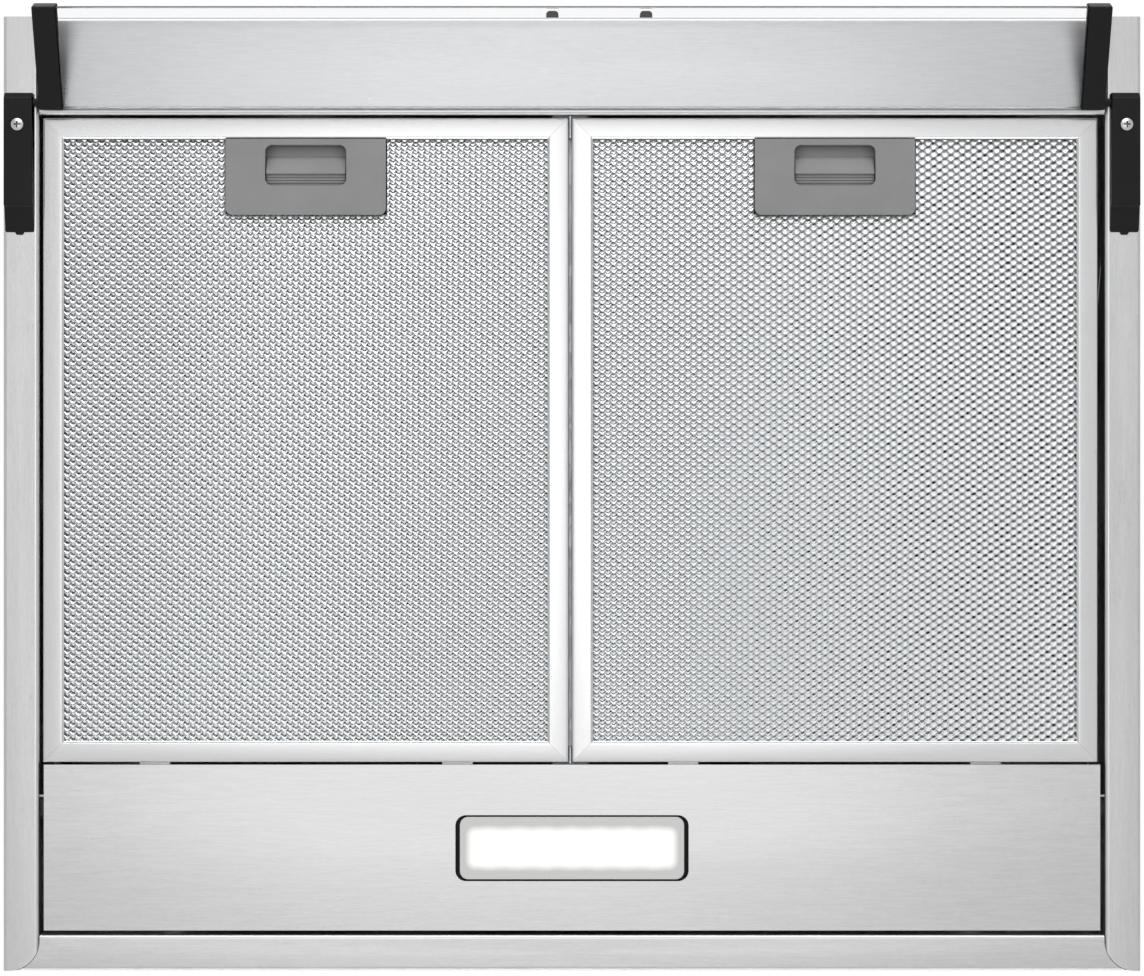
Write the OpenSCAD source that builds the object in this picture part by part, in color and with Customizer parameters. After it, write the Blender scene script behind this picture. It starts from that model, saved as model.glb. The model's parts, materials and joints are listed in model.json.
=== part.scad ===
// Under cabinet range hood with a hinged glass visor, two lift-out filters and a slide-switch panel.
// Millimetres. +Z up, -Y towards the cook, +X to the right. The origin is the centre of the
// cabinet screw pattern on top of the hood.

/* [Casing] */
// Width across the side panels
hood_w = 600; // [560:10:760]
// Depth from the rear wall to the front face
hood_d = 503; // [490:1:520]
// Height of the rear wall
hood_h = 150; // [146:1:180]
// Height of the front face
nose_h = 50; // [44:1:60]
// Depth of the flat top, from the rear wall
top_d = 300; // [290:5:310]
// Distance from the rear wall to the centre of the cabinet screws
screw_to_rear = 150; // [145:1:155]
// Sheet thickness
sheet_t = 1; // [0.8:0.1:1.2]
// Width of the folded rim round the sides and the rear
rim_w = 19.1; // [17:0.1:22]
// Inside radius of the sheet bends
bend_r = 1.2; // [0.8:0.1:2]
// Depth of the strip under the visor, with its hemmed edge
nose_strip_d = 51.8; // [50:0.1:54]

/* [Cabinet screws] */
// Spacing of the cabinet screws across the hood
screw_x = 460; // [380:10:500]
// Spacing of the cabinet screws front to back
screw_y = 200; // [160:10:220]
// Diameter of the cabinet screw holes
screw_hole_d = 6.5; // [5:0.5:8]

/* [Duct] */
// Outer diameter of the duct collar
collar_d = 120; // [110:1:126]
// Height of the duct collar above the top
collar_h = 40; // [30:1:60]
// Distance from the screw pattern centre back to the duct centre
duct_y = 62; // [56:1:66]

/* [Filters] */
// Width of one filter
filter_w = 277.8; // [270:0.1:278.2]
// Depth of one filter
filter_d = 340.4; // [338:0.1:340.6]
// Thickness of a filter
filter_t = 8; // [7:0.5:8]
// Width of the aluminium rail round the mesh
rail_w = 11.3; // [9:0.1:14]
// Gap between the two filters
filter_gap = 1.5; // [1.3:0.1:2]
// Sideways play taken up by both filters
filter_shift = -0.9; // [-1:0.1:1]

/* [Visor] */
// Angle by which the open visor hangs below the rim
visor_open = 24; // [15:1:28]
// Length of the visor in front of its hinge
visor_l = 52.7; // [48:0.1:54]
// Width of one visor arm
arm_w = 12.4; // [10:0.1:14]
// Thickness of a visor arm
arm_t = 8.4; // [8:0.1:9]
// Thickness of the glass
glass_t = 4; // [3:0.5:4]
// Diameter of the hinge pins
pin_d = 4.2; // [4:0.1:4.2]

/* [Lamp] */
// Width of the lamp opening
lamp_w = 123; // [110:1:140]
// Depth of the lamp opening
lamp_d = 34.8; // [30:0.1:40]

/* [Hidden] */
$fn = 64;

half_w = hood_w / 2;
rear_y = screw_to_rear;
front_y = rear_y - hood_d;
rim_z = -hood_h;
top_front_y = rear_y - top_d;
nose_top_z = rim_z + nose_h;
rim_x = half_w - rim_w;
rear_rim_y = rear_y - rim_w;
hem_y = front_y + nose_strip_d;
hem_h = 12;
seam = 0.3;
rim_corner_r = 15.8;
slope_len = norm([front_y - top_front_y, nose_top_z]);
slope_dir = [(front_y - top_front_y) / slope_len, nose_top_z / slope_len];
nose_lap = 14;
lip_l = 16;
rear_hole_z = -59;
rear_hole_w = 254;
rear_hole_h = 82;
shank_r = 1.6;
shank_l = 8;
side_shank_l = 6;
screw_inset = 8;
top_screws_x = [-250, -125, 125, 250];
cover_screws_x = [-rear_hole_w / 2 - 4.5, rear_hole_w / 2 + 4.5];
cover_screws_z = [rear_hole_z - rear_hole_h / 2 + 4, rear_hole_z + rear_hole_h / 2 - 4];
side_screws_y = [-250, -60, 110];
side_screws_z = rim_z + 30;

filter_rear_y = 40.4;
filter_front_y = filter_rear_y - filter_d;
filter_z = rim_z + 1.5;
filter_x = (filter_w + filter_gap) / 2;
filter_skin = 0.8;
mitre_gap = 0.12;
mesh_z = filter_z + 1.2;
mesh_t = 1.6;
hook_x = 80;
hook_w = 16;
hook_rise = 3.4;
hook_z = rim_z + 1.8 + hook_rise;

latch_w = 84.7;
latch_d = 40.1;
latch_y = filter_front_y + rail_w;
pocket_w = 42.7;
pocket_d = 21.3;
pocket_y = latch_y + 3.2;
plate_t = 1.6;
plate_r = 3.6;
pocket_h = 5.1;
slider_z = filter_z + pocket_h + 0.2;
slider_t = 1.2;
ridge_y = latch_y + 17.6;
tongue_w = 24;
tongue_reach = 2.8;
spring_r = 1.1;
spring_wire_r = 0.3;

hinge_y = -307.3;
hinge_z = rim_z - 2.85;
hinge_up = 2.7;
hinge_down = arm_t - hinge_up;
arm_x = 279.6;
pin_r = pin_d / 2;
run_gap = 0.05;
glass_low = hinge_down - 0.6;
bracket_x0 = 283.4;
bracket_x1 = 298.6;
bracket_h = 5.7;
bracket_front = -312.4;
bracket_step = -253.1;
bracket_rear = -238.9;
screw_head_y = -295.4;
screw_head_x = 291.2;
screw_head_r = 3.2;
screw_head_h = 0.9;
screw_r = 2.1;
screw_hole_r = 2.15;
screw_dome_r = 6.2;

light_y0 = filter_rear_y + 1;
light_y1 = rear_rim_y - 2.1;
light_z = rim_z + 0.8;
light_half = 278.5;
lamp_x = 0;
lamp_y = 85.4;
lamp_r = 5.6;
lens_w = lamp_w - 4.7;
lens_d = lamp_d - 1.9;
lens_r = 4.4;
led_pitch = 14.4;

wheel_y = 22;
wheel_z = -68;
wheel_r = 45;
wheel_w = 80;
scroll_w = 100;
scroll_t = 2;
scroll_r0 = 50;
scroll_r1 = 70;
shaft_r = 4;
blade_count = 28;
motor_x0 = 54;
motor_l = 46;
motor_r = 34;
outlet_x = 48;
outlet_front = 32;

collar_r = collar_d / 2;
collar_wall = 2;
flap_z = 20;
flap_t = 1;
flap_pin_x = 2.6;
flap_pin_r = 1;

switch_y = front_y + sheet_t;
knob_z = rim_z + 24;
fan_x = -10.5;
light_x = 39.5;
knob_w = 6.6;
knob_h = 12;
knob_out = 6.3;
stem_w = 3;
fan_travel = 16;
light_travel = 8;

gland_x = -160;
gland_y = 90;
gland_bore = 4.5;
gland_hole_r = 8.2;
loom_points = [
    [-205, 90, -26], [-288, 90, -26], [-288, -150, -26], [-288, -338, -126], [-36, -338, -126]
];
loom_r = 3;

// Draws an outline given in Y and Z and extrudes it from x0 to x1.
module along_x(x0, x1) {
    translate([x0, 0, 0]) rotate([90, 0, 90]) linear_extrude(x1 - x0) children();
}

// Draws an outline given in X and Z and extrudes it from y0 to y1.
module along_y(y0, y1) {
    translate([0, y1, 0]) rotate([90, 0, 0]) linear_extrude(y1 - y0) children();
}

// Draws an outline given in X and Y and extrudes it from z0 to z1.
module along_z(z0, z1) {
    translate([0, 0, z0]) linear_extrude(z1 - z0) children();
}

module block(x0, x1, y0, y1, z0, z1) {
    translate([x0, y0, z0]) cube([x1 - x0, y1 - y0, z1 - z0]);
}

module rod_x(r, x0, x1, y, z) {
    translate([x0, y, z]) rotate([0, 90, 0]) cylinder(r = r, h = x1 - x0);
}

module rod_y(r, y0, y1, x, z) {
    translate([x, y1, z]) rotate([90, 0, 0]) cylinder(r = r, h = y1 - y0);
}

module rod_z(r, z0, z1, x, y) {
    translate([x, y, z0]) cylinder(r = r, h = z1 - z0);
}

// A flat outline, centred, with its four corners rounded.
module rounded(w, d, r) {
    square([w - 2 * r, d], center = true);
    square([w, d - 2 * r], center = true);
    for (sx = [-1, 1], sy = [-1, 1])
        translate([sx * (w / 2 - r), sy * (d / 2 - r)]) circle(r);
}

function unit(v) = v / norm(v);
function left_of(v) = [-v[1], v[0]];
function turned(v, a) = [v[0] * cos(a) - v[1] * sin(a), v[0] * sin(a) + v[1] * cos(a)];
function turn_angle(u, v) = atan2(u[0] * v[1] - u[1] * v[0], u * v);

// Points and normals of the rounded corner at b on the way from a to c.
function corner(a, b, c, r, steps = 6) =
    let (u = unit(b - a), v = unit(c - b), turn = turn_angle(u, v), side = sign(turn),
         start = b - u * r * tan(abs(turn) / 2), centre = start + left_of(u) * r * side)
    [for (k = [0:steps])
        let (n = turned(left_of(u), turn * k / steps)) [centre - n * r * side, n]];

// Outline of a sheet of thickness t folded along the path p, with mid-line bend radius r.
function folded(p, t, r) =
    let (last = len(p) - 1,
         n0 = left_of(unit(p[1] - p[0])), n1 = left_of(unit(p[last] - p[last - 1])),
         mid = [for (i = [1:1:last - 1]) each corner(p[i - 1], p[i], p[i + 1], r)],
         all = concat([[p[0], n0]], mid, [[p[last], n1]]),
         count = len(all))
    concat([for (q = all) q[0] + q[1] * t / 2],
           [for (i = [count - 1:-1:0]) all[i][0] - all[i][1] * t / 2]);

module sheet_outline(p) {
    polygon(folded(p, sheet_t, bend_r + sheet_t / 2));
}

// ---- Casing ----

module side_profile() {
    polygon([
        [rear_y, rim_z], [rear_y, 0], [top_front_y, 0], [front_y, nose_top_z], [front_y, rim_z]
    ]);
}

// Footprint of one side rim: a strip whose rear inner corner is rounded. grow widens it.
module rim_strip(grow) {
    x = rim_x - grow;
    r = rim_corner_r + grow;
    translate([x, front_y - 1]) square([half_w + 1 - x, rear_y - rim_corner_r - front_y + 1]);
    translate([x + r, front_y - 1]) square([half_w + 1 - x - r, hood_d + 2]);
    translate([x + r, rear_y - rim_corner_r]) circle(r);
}

module side_panel(side) {
    mid = sheet_t / 2;
    mirror([side < 0 ? 1 : 0, 0, 0])
        difference() {
            intersection() {
                along_y(front_y, rear_y)
                    sheet_outline([
                        [half_w - mid, 1], [half_w - mid, rim_z + mid],
                        [rim_x + mid, rim_z + mid], [rim_x + mid, rim_z + hem_h]
                    ]);
                along_x(rim_x - 1, half_w + 1) side_profile();
                along_z(rim_z - 1, 1) rim_strip(0);
            }
            block(rim_x - 1, rim_x + 3, front_y - 1, hem_y - 2, rim_z + sheet_t, rim_z + 20);
            block(rim_x - 1, rim_x + 3, rear_y - rim_corner_r - 2, rear_y + 1,
                rim_z + sheet_t + bend_r, rim_z + 20);
            rod_z(screw_hole_r, rim_z - 1, rim_z + 2, screw_head_x, screw_head_y);
            case_shanks(0.1);
        }
}

module side_panel_left() {
    color("gainsboro") side_panel(-1);
}

module side_panel_right() {
    color("gainsboro") side_panel(1);
}

module screw_places() {
    for (sx = [-1, 1], sy = [-1, 1])
        translate([sx * screw_x / 2, sy * screw_y / 2]) children();
}

// The top plate. Its front lip laps over the sloping panel.
module top_panel() {
    mid = sheet_t / 2;
    inner = half_w - sheet_t - 0.1;
    outward = [slope_dir[1], -slope_dir[0]] * (mid + 0.05);
    bend = [top_front_y - 2.3, -mid];
    color("silver")
        difference() {
            along_x(-inner, inner)
                sheet_outline([
                    [rear_y, -mid], bend, [top_front_y, 0] + slope_dir * lip_l + outward
                ]);
            rod_z(collar_r - 3, -5, 5, 0, duct_y);
            rod_z(gland_hole_r, -5, 5, gland_x, gland_y);
            along_z(-5, 5) screw_places() circle(screw_hole_d / 2);
            case_shanks(0.1);
        }
}

module slope_panel() {
    mid = sheet_t / 2;
    inner = half_w - sheet_t - 0.1;
    inward = [-slope_dir[1], slope_dir[0]] * mid;
    color("silver")
        along_x(-inner, inner)
            polygon([
                for (q = [[4, -mid], [4, mid], [slope_len - nose_lap - seam, mid],
                    [slope_len - nose_lap - seam, -mid]])
                    [top_front_y, 0] + inward + slope_dir * q[0] + inward / mid * q[1]
            ]);
}

module nose_panel() {
    mid = sheet_t / 2;
    inner = half_w - sheet_t - 0.1;
    seam_point = [top_front_y, 0] + slope_dir * (slope_len - nose_lap);
    inward = [-slope_dir[1], slope_dir[0]] * mid;
    color("gainsboro")
        difference() {
            along_x(-inner, inner)
                sheet_outline([
                    seam_point + inward,
                    [front_y + mid, nose_top_z - 0.2],
                    [front_y + mid, rim_z + mid],
                    [hem_y - mid, rim_z + mid],
                    [hem_y - mid, rim_z + 6.2]
                ]);
            for (side = [-1, 1])
                mirror([side < 0 ? 1 : 0, 0, 0]) {
                    block(rim_x - 0.2, half_w, front_y + sheet_t + bend_r, hem_y + 1, rim_z - 1,
                        rim_z + 20);
                    block(rim_x - 0.2, half_w, front_y - 1, hem_y + 1, rim_z - 1,
                        rim_z + sheet_t + 0.1);
                }
            slider_slot(fan_x, -fan_travel, 0);
            slider_slot(light_x, 0, light_travel);
        }
}

module slider_slot(x, low, high) {
    block(x + low - stem_w / 2 - 0.4, x + high + stem_w / 2 + 0.4, front_y - 1, front_y + 3,
        knob_z - 2, knob_z + 2);
}

module rear_panel() {
    mid = sheet_t / 2;
    inner = half_w - sheet_t - 0.1;
    color("silver")
        difference() {
            along_x(-inner, inner)
                sheet_outline([
                    [rear_y - 16, -sheet_t - mid - 0.05], [rear_y - mid, -sheet_t - mid - 0.05],
                    [rear_y - mid, rim_z + mid], [rear_rim_y + mid, rim_z + mid],
                    [rear_rim_y + mid, rim_z + hem_h]
                ]);
            for (side = [-1, 1])
                mirror([side < 0 ? 1 : 0, 0, 0]) {
                    along_z(rim_z - 1, rim_z + sheet_t + bend_r + 0.5) rim_strip(seam);
                    block(rim_x - 0.3, half_w, rear_rim_y - 1, rear_y - sheet_t - bend_r - 0.4,
                        rim_z + sheet_t, rim_z + 20);
                }
            translate([0, rear_y, rear_hole_z])
                cube([rear_hole_w, 6, rear_hole_h], center = true);
            case_shanks(0.1);
        }
}

module rear_duct_cover() {
    color("silver")
        difference() {
            union() {
                along_y(rear_y - sheet_t - 1.2, rear_y - sheet_t)
                    translate([0, rear_hole_z]) rounded(rear_hole_w + 18, rear_hole_h + 16, 4);
                along_y(rear_y - sheet_t, rear_y - 0.2)
                    translate([0, rear_hole_z])
                        square([rear_hole_w - 0.6, rear_hole_h - 0.6], center = true);
            }
            case_shanks(0.1);
        }
}

module hanger_plates() {
    color("lightsteelblue")
        for (side = [-1, 1])
            difference() {
                block(side * screw_x / 2 - 15, side * screw_x / 2 + 15,
                    -screw_y / 2 - 25, screw_y / 2 + 25, -sheet_t - 1.5, -sheet_t);
                along_z(-5, 5) screw_places() circle(screw_hole_d / 2);
            }
}

module cross_rail() {
    low = light_z + sheet_t;
    mid = sheet_t / 2;
    y = filter_rear_y + 4.2;
    color("lightsteelblue")
        difference() {
            along_x(-rim_x, rim_x)
                sheet_outline([
                    [y, low + hook_rise - 0.1], [y, low + mid], [filter_rear_y + 18, low + mid],
                    [filter_rear_y + 18, rim_z + 22], [filter_rear_y + 30, rim_z + 22]
                ]);
            for (side = [-1, 1])
                mirror([side < 0 ? 1 : 0, 0, 0])
                    block(light_half - 0.5, rim_x + 1, y - 2, filter_rear_y + 17, low - 1, low + 6);
        }
}

module centre_rail() {
    top = filter_z + filter_t + 1;
    edge = top + 4.5;
    blade = 0.7;
    x = filter_shift;
    color("lightsteelblue")
        union() {
            along_y(hem_y - sheet_t, filter_rear_y + 17.5)
                translate([x, 0]) sheet_outline([[-10, edge], [-10, top], [10, top], [10, edge]]);
            block(x - 9, x + 9, hem_y - 2 * sheet_t, hem_y - sheet_t, rim_z + 1.6, top + 0.4);
            block(x - blade / 2, x + blade / 2, hem_y + 0.2, hem_y + 12, filter_z + 1, top);
            block(x - blade / 2, x + blade / 2, filter_rear_y - 8, filter_rear_y + 0.4,
                filter_z + 0.6, top);
        }
}

// The case screws: four in the rear edge of the top, four round the duct cover and three in
// each side. grow is 0 for the screws and the clearance for their holes.
module case_shanks(grow) {
    r = shank_r + grow;
    for (x = top_screws_x) rod_z(r, -shank_l, grow, x, rear_y - screw_inset);
    for (x = cover_screws_x, z = cover_screws_z) rod_y(r, rear_y - shank_l, rear_y + grow, x, z);
    for (side = [-1, 1], y = side_screws_y)
        mirror([side < 0 ? 1 : 0, 0, 0])
            rod_x(r, half_w - side_shank_l, half_w + grow, y, side_screws_z);
}

module case_screws() {
    head_r = 3.4;
    head_h = 1.7;
    color("lightgrey") {
        case_shanks(0);
        for (x = top_screws_x) rod_z(head_r, 0, head_h, x, rear_y - screw_inset);
        for (x = cover_screws_x, z = cover_screws_z) rod_y(head_r, rear_y, rear_y + head_h, x, z);
        for (side = [-1, 1], y = side_screws_y)
            mirror([side < 0 ? 1 : 0, 0, 0])
                rod_x(head_r, half_w, half_w + head_h, y, side_screws_z);
        for (a = [45:90:315])
            translate([(collar_r + 9) * cos(a), duct_y + (collar_r + 9) * sin(a), 0]) {
                rod_z(head_r, 2, 2 + head_h, 0, 0);
                rod_z(shank_r, 0, 2, 0, 0);
            }
    }
}

// ---- Filters ----

// Four strips of a rectangular band, mitred at the corners with a hairline between them.
module mitred_band(w, d, band, z0, z1) {
    difference() {
        along_z(z0, z1)
            difference() {
                square([w, d], center = true);
                square([w - 2 * band, d - 2 * band], center = true);
            }
        for (sx = [-1, 1], sy = [-1, 1])
            translate([sx * w / 2, sy * d / 2, z0 - 1])
                rotate([0, 0, sx * sy * 45])
                    translate([-rail_w * 2, -mitre_gap / 2, 0])
                        cube([rail_w * 4, mitre_gap, z1 - z0 + 2]);
    }
}

function filter_cx(side) = side * filter_x + filter_shift;

module filter_frame(side) {
    cy = (filter_front_y + filter_rear_y) / 2;
    top = filter_z + filter_t;
    translate([filter_cx(side), 0, 0]) {
        difference() {
            translate([0, cy, 0]) {
                mitred_band(filter_w, filter_d, rail_w, filter_z, filter_z + filter_skin);
                mitred_band(filter_w, filter_d, rail_w - 2, top - filter_skin, top);
                mitred_band(filter_w, filter_d, filter_skin, filter_z, top);
            }
            block(-tongue_w / 2 - 1, tongue_w / 2 + 1, filter_front_y - 1, filter_front_y + 2,
                slider_z - 0.4, slider_z + slider_t + 0.3);
        }
        for (x = [-hook_x, hook_x])
            block(x - hook_w / 2, x + hook_w / 2, filter_rear_y - filter_skin, filter_rear_y + 8,
                hook_z, hook_z + 1.2);
    }
}

module filter_frame_left() {
    color("lightgrey") filter_frame(-1);
}

module filter_frame_right() {
    color("lightgrey") filter_frame(1);
}

module filter_mesh(side) {
    inset = 1.4;
    translate([filter_cx(side), 0, 0])
        difference() {
            block(-filter_w / 2 + inset, filter_w / 2 - inset, filter_front_y + inset,
                filter_rear_y - inset, mesh_z, mesh_z + mesh_t);
            block(-latch_w / 2 - 0.5, latch_w / 2 + 0.5, latch_y - 1, latch_y + latch_d + 0.6,
                mesh_z - 1, mesh_z + mesh_t + 1);
            block(-tongue_w / 2 - 1, tongue_w / 2 + 1, filter_front_y, latch_y + 1,
                slider_z - 0.6, mesh_z + mesh_t + 1);
        }
}

module filter_mesh_left() {
    color("darkgrey") filter_mesh(-1);
}

module filter_mesh_right() {
    color("darkgrey") filter_mesh(1);
}

module latch_plate(side) {
    pocket_cy = pocket_y + pocket_d / 2;
    wall = 1.4;
    translate([filter_cx(side), 0, 0])
        difference() {
            union() {
                translate([0, latch_y + latch_d / 2, 0])
                    along_z(filter_z, filter_z + plate_t) rounded(latch_w, latch_d, plate_r);
                block(-latch_w / 2, latch_w / 2, latch_y, latch_y + plate_r, filter_z,
                    filter_z + plate_t);
                translate([0, pocket_cy, 0]) along_z(filter_z, filter_z + pocket_h)
                    rounded(pocket_w + 2 * wall, pocket_d + 2 * wall, 4.6);
                for (x = [-latch_w / 2 + 3, latch_w / 2 - 3])
                    block(x - 1, x + 1, latch_y + 4, latch_y + latch_d - 4, filter_z, filter_z + pocket_h);
                for (x = [-14, 14])
                    block(x - 5, x + 5, latch_y + latch_d - 4.4, latch_y + latch_d - 2.9,
                        filter_z, filter_z + pocket_h + 2.5);
            }
            translate([0, pocket_cy, 0]) along_z(filter_z - 1, filter_z + pocket_h + 1)
                rounded(pocket_w, pocket_d, 3.6);
            block(-pocket_w / 2 + 0.2, pocket_w / 2 - 0.2, pocket_cy + pocket_d / 2 - 5,
                pocket_cy + pocket_d / 2 + wall + 1, filter_z + plate_t, filter_z + pocket_h + 1);
        }
}

module latch_plate_left() {
    color("dimgrey") latch_plate(-1);
}

module latch_plate_right() {
    color("dimgrey") latch_plate(1);
}

module latch_slider(side) {
    tip_y = hem_y - sheet_t - tongue_reach;
    pad_z = filter_z + plate_t + 0.4;
    pad_rear = pocket_y + pocket_d + 0.6;
    translate([filter_cx(side), 0, 0])
        union() {
            block(-24, 24, latch_y + 0.6, pocket_y + pocket_d + 0.8, slider_z, slider_z + slider_t);
            block(-tongue_w / 2, tongue_w / 2, tip_y, latch_y + 1, slider_z, slider_z + slider_t);
            along_x(-pocket_w / 2 + 0.5, pocket_w / 2 - 0.5)
                polygon(concat(
                    [[ridge_y - 9, slider_z], [ridge_y - 1, filter_z + 1.2],
                        [ridge_y + 0.6, filter_z + 0.8], [ridge_y + 1.4, pad_z]],
                    [for (k = [0:2], q = [[0.4, 0], [0.7, 0.3], [1, 0]])
                        [ridge_y + 2 + k * 1.5 + q[0], pad_z + q[1]]],
                    [[pad_rear, pad_z], [pad_rear, slider_z]]
                ));
        }
}

module latch_slider_left() {
    color("grey") latch_slider(-1);
}

module latch_slider_right() {
    color("grey") latch_slider(1);
}

// Two compression springs between the slider and the posts on the plate.
module latch_spring(side) {
    start = pocket_y + pocket_d + 0.8;
    end = latch_y + latch_d - 4.4;
    translate([filter_cx(side), 0, 0])
        for (x = [-14, 14], k = [0:3])
            translate([x, start + 0.6 + k * (end - start - 1.2) / 3, slider_z + spring_r + spring_wire_r])
                rotate([90, 0, 0]) rotate_extrude($fn = 32) translate([spring_r, 0]) circle(spring_wire_r, $fn = 16);
}

module latch_spring_left() {
    color("silver") latch_spring(-1);
}

module latch_spring_right() {
    color("silver") latch_spring(1);
}

// ---- Visor ----

// Places children drawn about the hinge axis, with the visor closed, at the open angle.
module on_visor() {
    translate([0, hinge_y, hinge_z]) rotate([visor_open, 0, 0]) children();
}

module visor_glass() {
    x = arm_x - arm_w + 2.6;
    color("lightcyan", 0.4)
        on_visor() block(-x, x, -visor_l + 0.6, hinge_up - 1, -glass_low, -glass_low + glass_t);
}

module visor_arm(side) {
    front_r = 1;
    mirror([side < 0 ? 1 : 0, 0, 0])
        on_visor()
            difference() {
                union() {
                    along_x(arm_x - arm_w, arm_x) {
                        circle(hinge_up);
                        translate([-visor_l + front_r, -hinge_down])
                            square([visor_l + hinge_up - front_r - 1, arm_t]);
                        translate([-visor_l, -hinge_down + front_r])
                            square([visor_l, arm_t - 2 * front_r]);
                        translate([-visor_l, -hinge_down + 1]) square([visor_l + hinge_up, hinge_down - 1]);
                        for (z = [-hinge_down + front_r, hinge_up - front_r])
                            translate([-visor_l + front_r, z]) circle(front_r);
                        translate([hinge_up - 1, -hinge_down + 1]) circle(1);
                    }
                    rod_x(pin_r, arm_x - 1, bracket_x0 + 6, 0, 0);
                }
                block(arm_x - arm_w - 1, arm_x - arm_w + 2.7, -visor_l + 0.5, hinge_up + 1,
                    -glass_low - 0.05, -glass_low + glass_t + 0.05);
                difference() {
                    block(arm_x - arm_w - 1, arm_x + 0.01, 0, hinge_up + 1, 0, hinge_up + 1);
                    rod_x(hinge_up, arm_x - arm_w - 2, arm_x + 1, 0, 0);
                }
            }
}

module visor_arm_left() {
    color([0.15, 0.15, 0.15]) visor_arm(-1);
}

module visor_arm_right() {
    color([0.15, 0.15, 0.15]) visor_arm(1);
}

module visor_bracket(side) {
    low = rim_z - bracket_h;
    mid_x = (bracket_x0 + bracket_x1) / 2;
    mirror([side < 0 ? 1 : 0, 0, 0])
        difference() {
            union() {
                along_x(bracket_x0, bracket_x1)
                    polygon([
                        [bracket_front, rim_z], [bracket_front, low + 2], [bracket_front + 3, low],
                        [bracket_step, low], [bracket_step + 0.8, low + 1.6],
                        [bracket_rear - 1, rim_z - 1], [bracket_rear, rim_z]
                    ]);
                block(mid_x - 2, mid_x + 2, bracket_rear - 2, bracket_rear + 1, rim_z - 1, rim_z);
            }
            rod_x(pin_r + run_gap, bracket_x0 - 1, bracket_x0 + 7, hinge_y, hinge_z);
            rod_z(screw_hole_r, low - 1, rim_z + 1, screw_head_x, screw_head_y);
        }
}

module visor_bracket_left() {
    color([0.12, 0.12, 0.12]) visor_bracket(-1);
}

module visor_bracket_right() {
    color([0.12, 0.12, 0.12]) visor_bracket(1);
}

module bracket_screws() {
    face_z = rim_z - bracket_h - screw_head_h;
    color("silver")
        for (side = [-1, 1])
            translate([side * screw_head_x, screw_head_y, face_z])
                difference() {
                    union() {
                        cylinder(r = screw_head_r, h = screw_head_h);
                        intersection() {
                            translate([0, 0, screw_dome_r - 0.85]) sphere(screw_dome_r);
                            translate([0, 0, -1]) cylinder(r = screw_head_r, h = 1);
                        }
                        cylinder(r = screw_r, h = screw_head_h + bracket_h + 4);
                    }
                    for (a = [0, 90])
                        rotate([0, 0, a]) translate([0, 0, -0.7]) cube([3.4, 0.8, 2.4], center = true);
                }
}

// ---- Lamp ----

module light_panel() {
    cy = (light_y0 + light_y1) / 2;
    color("gainsboro")
        difference() {
            union() {
                block(-light_half, light_half, light_y0, light_y1, light_z, light_z + sheet_t);
                block(-light_half, light_half, light_y0, light_y0 + sheet_t, light_z, light_z + 1.8);
                block(-light_half, light_half, light_y1 - sheet_t, light_y1, light_z, light_z + hem_h);
                for (side = [-1, 1])
                    translate([side * (light_half - sheet_t / 2), 0, 0])
                        block(-sheet_t / 2, sheet_t / 2, cy, light_y1, light_z, light_z + hem_h);
            }
            translate([lamp_x, lamp_y, 0]) along_z(rim_z - 1, rim_z + 20)
                rounded(lamp_w, lamp_d, lamp_r);
        }
}

module lamp_bezel() {
    color([0.06, 0.06, 0.06])
        translate([lamp_x, lamp_y, 0])
            difference() {
                union() {
                    along_z(light_z + 0.5, rim_z + 4) rounded(lamp_w - 0.1, lamp_d - 0.1, lamp_r);
                    along_z(light_z + sheet_t, light_z + sheet_t + 1)
                        rounded(lamp_w + 8, lamp_d + 8, lamp_r + 4);
                }
                along_z(rim_z - 1, rim_z + 10) rounded(lens_w + 0.2, lens_d + 0.2, lens_r + 0.1);
            }
}

module lamp_lens() {
    color("white")
        translate([lamp_x, lamp_y, 0]) along_z(rim_z + 0.7, rim_z + 3.2) rounded(lens_w, lens_d, lens_r);
}

module lamp_housing() {
    color("lightgrey")
        translate([lamp_x, lamp_y, 0])
            difference() {
                along_z(rim_z + 3.2, rim_z + 12) rounded(lens_w, lens_d, lens_r);
                along_z(rim_z + 3, rim_z + 10.8) rounded(lens_w - 3, lens_d - 3, lens_r - 1.5);
            }
}

module led_board() {
    color("palegreen")
        translate([lamp_x, lamp_y, 0]) {
            block(-lens_w / 2 + 3, lens_w / 2 - 3, -9, 9, rim_z + 9.6, rim_z + 10.8);
            for (k = [-3:3])
                block(k * led_pitch - 1.5, k * led_pitch + 1.5, -1.5, 1.5, rim_z + 8.8, rim_z + 9.6);
        }
}

module led_driver() {
    color("whitesmoke")
        union() {
            block(110, 170, 96, 124, light_z + sheet_t, light_z + sheet_t + 22);
            block(102, 178, 104, 116, light_z + sheet_t, light_z + sheet_t + 2);
        }
}

// ---- Controls ----

module switch_housing() {
    color([0.2, 0.2, 0.2])
        difference() {
            union() {
                block(-46, 66, switch_y, switch_y + 3, knob_z - 9, knob_z + 9);
                block(-36, 2, switch_y, switch_y + 22, knob_z - 8, knob_z + 8);
                block(30, 56, switch_y, switch_y + 22, knob_z - 8, knob_z + 8);
            }
            switch_slot(fan_x, -fan_travel, 0);
            switch_slot(light_x, 0, light_travel);
        }
}

module switch_slot(x, low, high) {
    block(x + low - stem_w / 2 - 0.5, x + high + stem_w / 2 + 0.5, switch_y - 1, switch_y + 12,
        knob_z - 2.2, knob_z + 2.2);
}

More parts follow.
